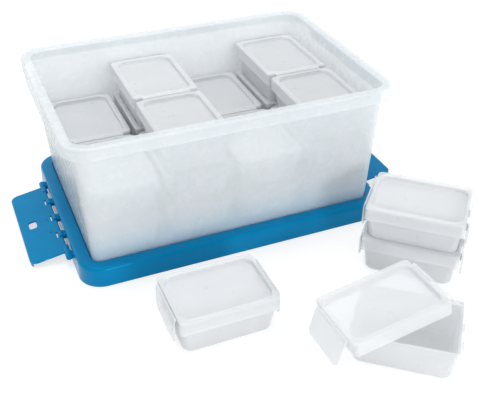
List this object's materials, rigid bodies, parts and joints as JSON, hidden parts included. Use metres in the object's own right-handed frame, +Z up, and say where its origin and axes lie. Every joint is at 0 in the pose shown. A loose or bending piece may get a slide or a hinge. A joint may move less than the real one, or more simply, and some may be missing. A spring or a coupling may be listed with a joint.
{
  "type": "milk storage freezer box",
  "caption": "Clear freezer tub standing in its blue lid, packed with clip-top milk containers, with closed, stacked and open containers in front of it.",
  "frame": {"origin": "on the floor, under the middle of the whole arrangement's box", "axes": "+X to the right along the tub's long side, +Y from the loose containers back to the tub, +Z up"},
  "size_m": [0.4054, 0.4598, 0.1508],
  "materials": {
    "natural_polypropylene": "moulded, cloudy and see-through",
    "blue_polypropylene": "moulded satin"
  },
  "bodies": {
    "box_lid": {"box_lid": "blue_polypropylene"},
    "latch_left": {"latch_left": "blue_polypropylene"},
    "latch_right": {"latch_right": "blue_polypropylene"},
    "tub": {"tub": "natural_polypropylene"},
    "tray_single": {"tray_single": "natural_polypropylene"},
    "cap_single": {"cap_single": "natural_polypropylene"},
    "flap_left_single": {"flap_left_single": "natural_polypropylene"},
    "flap_right_single": {"flap_right_single": "natural_polypropylene"},
    "tray_pair_low": {"tray_pair_low": "natural_polypropylene"},
    "cap_pair_low": {"cap_pair_low": "natural_polypropylene"},
    "flap_left_pair_low": {"flap_left_pair_low": "natural_polypropylene"},
    "flap_right_pair_low": {"flap_right_pair_low": "natural_polypropylene"},
    "tray_pair_high": {"tray_pair_high": "natural_polypropylene"},
    "cap_pair_high": {"cap_pair_high": "natural_polypropylene"},
    "flap_left_pair_high": {"flap_left_pair_high": "natural_polypropylene"},
    "flap_right_pair_high": {"flap_right_pair_high": "natural_polypropylene"},
    "tray_open": {"tray_open": "natural_polypropylene"},
    "cap_open": {"cap_open": "natural_polypropylene"},
    "flap_left_open": {"flap_left_open": "natural_polypropylene"},
    "flap_right_open": {"flap_right_open": "natural_polypropylene"},
    "tray_front_1_low": {"tray_front_1_low": "natural_polypropylene"},
    "cap_front_1_low": {"cap_front_1_low": "natural_polypropylene"},
    "tray_front_1_middle": {"tray_front_1_middle": "natural_polypropylene"},
    "cap_front_1_middle": {"cap_front_1_middle": "natural_polypropylene"},
    "tray_front_2_low": {"tray_front_2_low": "natural_polypropylene"},
    "cap_front_2_low": {"cap_front_2_low": "natural_polypropylene"},
    "tray_front_2_middle": {"tray_front_2_middle": "natural_polypropylene"},
    "cap_front_2_middle": {"cap_front_2_middle": "natural_polypropylene"},
    "tray_front_2_high": {"tray_front_2_high": "natural_polypropylene"},
    "cap_front_2_high": {"cap_front_2_high": "natural_polypropylene"},
    "tray_front_3_low": {"tray_front_3_low": "natural_polypropylene"},
    "cap_front_3_low": {"cap_front_3_low": "natural_polypropylene"},
    "tray_front_3_middle": {"tray_front_3_middle": "natural_polypropylene"},
    "cap_front_3_middle": {"cap_front_3_middle": "natural_polypropylene"},
    "tray_front_4_low": {"tray_front_4_low": "natural_polypropylene"},
    "cap_front_4_low": {"cap_front_4_low": "natural_polypropylene"},
    "tray_front_4_middle": {"tray_front_4_middle": "natural_polypropylene"},
    "cap_front_4_middle": {"cap_front_4_middle": "natural_polypropylene"},
    "tray_front_4_high": {"tray_front_4_high": "natural_polypropylene"},
    "cap_front_4_high": {"cap_front_4_high": "natural_polypropylene"},
    "tray_back_1_low": {"tray_back_1_low": "natural_polypropylene"},
    "cap_back_1_low": {"cap_back_1_low": "natural_polypropylene"},
    "tray_back_1_middle": {"tray_back_1_middle": "natural_polypropylene"},
    "cap_back_1_middle": {"cap_back_1_middle": "natural_polypropylene"},
    "tray_back_2_low": {"tray_back_2_low": "natural_polypropylene"},
    "cap_back_2_low": {"cap_back_2_low": "natural_polypropylene"},
    "tray_back_2_middle": {"tray_back_2_middle": "natural_polypropylene"},
    "cap_back_2_middle": {"cap_back_2_middle": "natural_polypropylene"},
    "tray_back_2_high": {"tray_back_2_high": "natural_polypropylene"},
    "cap_back_2_high": {"cap_back_2_high": "natural_polypropylene"},
    "tray_back_3_low": {"tray_back_3_low": "natural_polypropylene"},
    "cap_back_3_low": {"cap_back_3_low": "natural_polypropylene"},
    "tray_back_3_middle": {"tray_back_3_middle": "natural_polypropylene"},
    "cap_back_3_middle": {"cap_back_3_middle": "natural_polypropylene"},
    "tray_back_4_low": {"tray_back_4_low": "natural_polypropylene"},
    "cap_back_4_low": {"cap_back_4_low": "natural_polypropylene"},
    "tray_back_4_middle": {"tray_back_4_middle": "natural_polypropylene"},
    "cap_back_4_middle": {"cap_back_4_middle": "natural_polypropylene"},
    "tray_back_4_high": {"tray_back_4_high": "natural_polypropylene"},
    "cap_back_4_high": {"cap_back_4_high": "natural_polypropylene"}
  },
  "joints": [
    {"name": "latch_left_hinge", "type": "hinge", "parent": "box_lid", "child": "latch_left", "pos_m": [-0.1655, 0.11427, 0.0105], "axis": [0, 1, 0], "range_deg": [-80.2, 90]},
    {"name": "latch_right_hinge", "type": "hinge", "parent": "box_lid", "child": "latch_right", "pos_m": [0.1655, 0.11427, 0.0105], "axis": [0, -1, 0], "range_deg": [-97.3, 72]},
    {"name": "tub_lift", "type": "slide", "parent": "box_lid", "child": "tub", "axis": [0, 0, 1], "range_m": [0, 0.1]},
    {"name": "tray_single_lift", "type": "slide", "parent": "box_lid", "child": "tray_single", "axis": [0, 0, 1], "range_m": [0, 0.06]},
    {"name": "cap_single_lift", "type": "slide", "parent": "tray_single", "child": "cap_single", "axis": [0, 0, 1], "range_m": [0, 0.04]},
    {"name": "flap_left_single_hinge", "type": "hinge", "parent": "cap_single", "child": "flap_left_single", "pos_m": [-0.10724, -0.08384, 0.038], "axis": [0, 1, 0], "range_deg": [0, 110]},
    {"name": "flap_right_single_hinge", "type": "hinge", "parent": "cap_single", "child": "flap_right_single", "pos_m": [-0.01316, -0.08384, 0.038], "axis": [0, -1, 0], "range_deg": [0, 110]},
    {"name": "tray_pair_low_lift", "type": "slide", "parent": "box_lid", "child": "tray_pair_low", "axis": [0, 0, 1], "range_m": [0, 0.06]},
    {"name": "cap_pair_low_lift", "type": "slide", "parent": "tray_pair_low", "child": "cap_pair_low", "axis": [0, 0, 1], "range_m": [0, 0.04]},
    {"name": "flap_left_pair_low_hinge", "type": "hinge", "parent": "cap_pair_low", "child": "flap_left_pair_low", "pos_m": [0.11269, -0.04436, 0.038], "axis": [0.6678, 0.7443, 0], "range_deg": [0, 110]},
    {"name": "flap_right_pair_low_hinge", "type": "hinge", "parent": "cap_pair_low", "child": "flap_right_pair_low", "pos_m": [0.18271, -0.10719, 0.038], "axis": [-0.6678, -0.7443, 0], "range_deg": [0, 110]},
    {"name": "tray_pair_high_lift", "type": "slide", "parent": "cap_pair_low", "child": "tray_pair_high", "axis": [0, 0, 1], "range_m": [0, 0.06]},
    {"name": "cap_pair_high_lift", "type": "slide", "parent": "tray_pair_high", "child": "cap_pair_high", "axis": [0, 0, 1], "range_m": [0, 0.04]},
    {"name": "flap_left_pair_high_hinge", "type": "hinge", "parent": "cap_pair_high", "child": "flap_left_pair_high", "pos_m": [0.11269, -0.04436, 0.073], "axis": [0.6678, 0.7443, 0], "range_deg": [0, 110]},
    {"name": "flap_right_pair_high_hinge", "type": "hinge", "parent": "cap_pair_high", "child": "flap_right_pair_high", "pos_m": [0.18271, -0.10719, 0.073], "axis": [-0.6678, -0.7443, 0], "range_deg": [0, 110]},
    {"name": "tray_open_lift", "type": "slide", "parent": "box_lid", "child": "tray_open", "axis": [0, 0, 1], "range_m": [0, 0.06]},
    {"name": "cap_open_lift", "type": "slide", "parent": "tray_open", "child": "cap_open", "axis": [0, 0, 1], "range_m": [0, 0.04]},
    {"name": "flap_left_open_hinge", "type": "hinge", "parent": "cap_open", "child": "flap_left_open", "pos_m": [0.00875, -0.16586, 0.04276], "axis": [-0.0036, 0.9966, -0.0825], "range_deg": [-27, 83]},
    {"name": "flap_right_open_hinge", "type": "hinge", "parent": "cap_open", "child": "flap_right_open", "pos_m": [0.10153, -0.16424, 0.05829], "axis": [0.0036, -0.9966, 0.0825], "range_deg": [-10, 79]},
    {"name": "tray_front_1_low_lift", "type": "slide", "parent": "tub", "child": "tray_front_1_low", "axis": [0, 0, 1], "range_m": [0, 0.14]},
    {"name": "cap_front_1_low_lift", "type": "slide", "parent": "tray_front_1_low", "child": "cap_front_1_low", "axis": [0, 0, 1], "range_m": [0, 0.04]},
    {"name": "tray_front_1_middle_lift", "type": "slide", "parent": "cap_front_1_low", "child": "tray_front_1_middle", "axis": [0, 0, 1], "range_m": [0, 0.105]},
    {"name": "cap_front_1_middle_lift", "type": "slide", "parent": "tray_front_1_middle", "child": "cap_front_1_middle", "axis": [0, 0, 1], "range_m": [0, 0.04]},
    {"name": "tray_front_2_low_lift", "type": "slide", "parent": "tub", "child": "tray_front_2_low", "axis": [0, 0, 1], "range_m": [0, 0.14]},
    {"name": "cap_front_2_low_lift", "type": "slide", "parent": "tray_front_2_low", "child": "cap_front_2_low", "axis": [0, 0, 1], "range_m": [0, 0.04]},
    {"name": "tray_front_2_middle_lift", "type": "slide", "parent": "cap_front_2_low", "child": "tray_front_2_middle", "axis": [0, 0, 1], "range_m": [0, 0.105]},
    {"name": "cap_front_2_middle_lift", "type": "slide", "parent": "tray_front_2_middle", "child": "cap_front_2_middle", "axis": [0, 0, 1], "range_m": [0, 0.04]},
    {"name": "tray_front_2_high_lift", "type": "slide", "parent": "cap_front_2_middle", "child": "tray_front_2_high", "axis": [0, 0, 1], "range_m": [0, 0.07]},
    {"name": "cap_front_2_high_lift", "type": "slide", "parent": "tray_front_2_high", "child": "cap_front_2_high", "axis": [0, 0, 1], "range_m": [0, 0.04]},
    {"name": "tray_front_3_low_lift", "type": "slide", "parent": "tub", "child": "tray_front_3_low", "axis": [0, 0, 1], "range_m": [0, 0.14]},
    {"name": "cap_front_3_low_lift", "type": "slide", "parent": "tray_front_3_low", "child": "cap_front_3_low", "axis": [0, 0, 1], "range_m": [0, 0.04]},
    {"name": "tray_front_3_middle_lift", "type": "slide", "parent": "cap_front_3_low", "child": "tray_front_3_middle", "axis": [0, 0, 1], "range_m": [0, 0.105]},
    {"name": "cap_front_3_middle_lift", "type": "slide", "parent": "tray_front_3_middle", "child": "cap_front_3_middle", "axis": [0, 0, 1], "range_m": [0, 0.04]},
    {"name": "tray_front_4_low_lift", "type": "slide", "parent": "tub", "child": "tray_front_4_low", "axis": [0, 0, 1], "range_m": [0, 0.14]},
    {"name": "cap_front_4_low_lift", "type": "slide", "parent": "tray_front_4_low", "child": "cap_front_4_low", "axis": [0, 0, 1], "range_m": [0, 0.04]},
    {"name": "tray_front_4_middle_lift", "type": "slide", "parent": "cap_front_4_low", "child": "tray_front_4_middle", "axis": [0, 0, 1], "range_m": [0, 0.105]},
    {"name": "cap_front_4_middle_lift", "type": "slide", "parent": "tray_front_4_middle", "child": "cap_front_4_middle", "axis": [0, 0, 1], "range_m": [0, 0.04]},
    {"name": "tray_front_4_high_lift", "type": "slide", "parent": "cap_front_4_middle", "child": "tray_front_4_high", "axis": [0, 0, 1], "range_m": [0, 0.07]},
    {"name": "cap_front_4_high_lift", "type": "slide", "parent": "tray_front_4_high", "child": "cap_front_4_high", "axis": [0, 0, 1], "range_m": [0, 0.04]},
    {"name": "tray_back_1_low_lift", "type": "slide", "parent": "tub", "child": "tray_back_1_low", "axis": [0, 0, 1], "range_m": [0, 0.14]},
    {"name": "cap_back_1_low_lift", "type": "slide", "parent": "tray_back_1_low", "child": "cap_back_1_low", "axis": [0, 0, 1], "range_m": [0, 0.04]},
    {"name": "tray_back_1_middle_lift", "type": "slide", "parent": "cap_back_1_low", "child": "tray_back_1_middle", "axis": [0, 0, 1], "range_m": [0, 0.105]},
    {"name": "cap_back_1_middle_lift", "type": "slide", "parent": "tray_back_1_middle", "child": "cap_back_1_middle", "axis": [0, 0, 1], "range_m": [0, 0.04]},
    {"name": "tray_back_2_low_lift", "type": "slide", "parent": "tub", "child": "tray_back_2_low", "axis": [0, 0, 1], "range_m": [0, 0.14]},
    {"name": "cap_back_2_low_lift", "type": "slide", "parent": "tray_back_2_low", "child": "cap_back_2_low", "axis": [0, 0, 1], "range_m": [0, 0.04]},
    {"name": "tray_back_2_middle_lift", "type": "slide", "parent": "cap_back_2_low", "child": "tray_back_2_middle", "axis": [0, 0, 1], "range_m": [0, 0.105]},
    {"name": "cap_back_2_middle_lift", "type": "slide", "parent": "tray_back_2_middle", "child": "cap_back_2_middle", "axis": [0, 0, 1], "range_m": [0, 0.04]},
    {"name": "tray_back_2_high_lift", "type": "slide", "parent": "cap_back_2_middle", "child": "tray_back_2_high", "axis": [0, 0, 1], "range_m": [0, 0.07]},
    {"name": "cap_back_2_high_lift", "type": "slide", "parent": "tray_back_2_high", "child": "cap_back_2_high", "axis": [0, 0, 1], "range_m": [0, 0.04]},
    {"name": "tray_back_3_low_lift", "type": "slide", "parent": "tub", "child": "tray_back_3_low", "axis": [0, 0, 1], "range_m": [0, 0.14]},
    {"name": "cap_back_3_low_lift", "type": "slide", "parent": "tray_back_3_low", "child": "cap_back_3_low", "axis": [0, 0, 1], "range_m": [0, 0.04]},
    {"name": "tray_back_3_middle_lift", "type": "slide", "parent": "cap_back_3_low", "child": "tray_back_3_middle", "axis": [0, 0, 1], "range_m": [0, 0.105]},
    {"name": "cap_back_3_middle_lift", "type": "slide", "parent": "tray_back_3_middle", "child": "cap_back_3_middle", "axis": [0, 0, 1], "range_m": [0, 0.04]},
    {"name": "tray_back_4_low_lift", "type": "slide", "parent": "tub", "child": "tray_back_4_low", "axis": [0, 0, 1], "range_m": [0, 0.14]},
    {"name": "cap_back_4_low_lift", "type": "slide", "parent": "tray_back_4_low", "child": "cap_back_4_low", "axis": [0, 0, 1], "range_m": [0, 0.04]},
    {"name": "tray_back_4_middle_lift", "type": "slide", "parent": "cap_back_4_low", "child": "tray_back_4_middle", "axis": [0, 0, 1], "range_m": [0, 0.105]},
    {"name": "cap_back_4_middle_lift", "type": "slide", "parent": "tray_back_4_middle", "child": "cap_back_4_middle", "axis": [0, 0, 1], "range_m": [0, 0.04]},
    {"name": "tray_back_4_high_lift", "type": "slide", "parent": "cap_back_4_middle", "child": "tray_back_4_high", "axis": [0, 0, 1], "range_m": [0, 0.07]},
    {"name": "cap_back_4_high_lift", "type": "slide", "parent": "tray_back_4_high", "child": "cap_back_4_high", "axis": [0, 0, 1], "range_m": [0, 0.04]}
  ]
}
